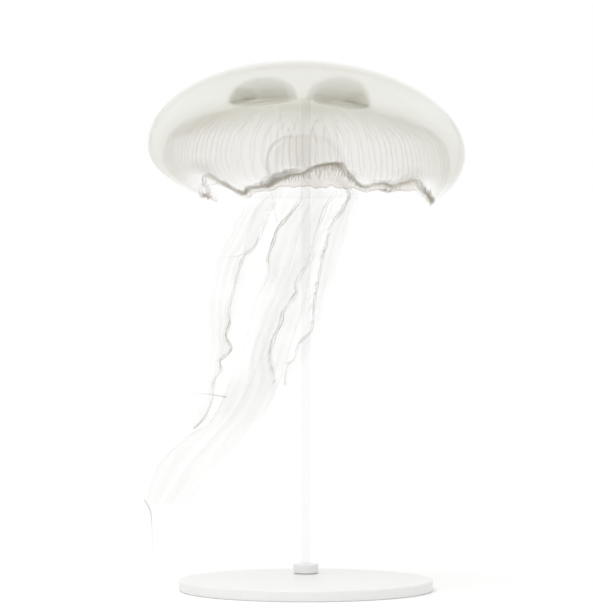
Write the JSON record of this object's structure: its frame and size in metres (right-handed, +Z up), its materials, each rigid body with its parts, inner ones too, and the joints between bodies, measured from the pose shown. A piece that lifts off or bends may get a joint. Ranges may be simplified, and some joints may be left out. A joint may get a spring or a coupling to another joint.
{
  "type": "moon jellyfish display model",
  "caption": "Life-size moon jellyfish in mid pulse, with a domed translucent bell, horseshoe gonads, a fringed margin and trailing oral arms, held above a round base by one clear rod.",
  "frame": {"origin": "centre of the underside of the stand's base", "axes": "+Z up along the bell's axis, -Y to the front, from where the oral arms trail down to the left, and +X to the right"},
  "size_m": [0.2013, 0.2, 0.334],
  "materials": {
    "mesogloea": "clear, faintly warm white jelly with a wet gloss",
    "margin": "thin jelly with a grey-brown tentacle fringe",
    "gonad": "soft, opaque grey-beige tissue",
    "arm": "thin translucent white ribbon with frilled lips",
    "sense": "small grey-brown bodies",
    "base": "satin white",
    "rod": "polished clear acrylic"
  },
  "bodies": {
    "root": {"bell": "mesogloea", "manubrium": "mesogloea", "gonad_1": "gonad", "gonad_2": "gonad", "gonad_3": "gonad", "gonad_4": "gonad", "lappet_1": "margin", "lappet_2": "margin", "lappet_3": "margin", "lappet_4": "margin", "lappet_5": "margin", "lappet_6": "margin", "lappet_7": "margin", "lappet_8": "margin", "rhopalium_1": "sense", "rhopalium_2": "sense", "rhopalium_3": "sense", "rhopalium_4": "sense", "rhopalium_5": "sense", "rhopalium_6": "sense", "rhopalium_7": "sense", "rhopalium_8": "sense", "oral_arm_left_upper": "arm", "oral_arm_left_middle": "arm", "oral_arm_left_lower": "arm", "oral_arm_front_upper": "arm", "oral_arm_front_middle": "arm", "oral_arm_front_lower": "arm", "oral_arm_back_upper": "arm", "oral_arm_back_middle": "arm", "oral_arm_back_lower": "arm", "oral_arm_right_upper": "arm", "oral_arm_right_middle": "arm", "oral_arm_right_lower": "arm", "stand_base": "base", "stand_collar": "base", "stand_rod": "rod"}
  },
  "joints": []
}
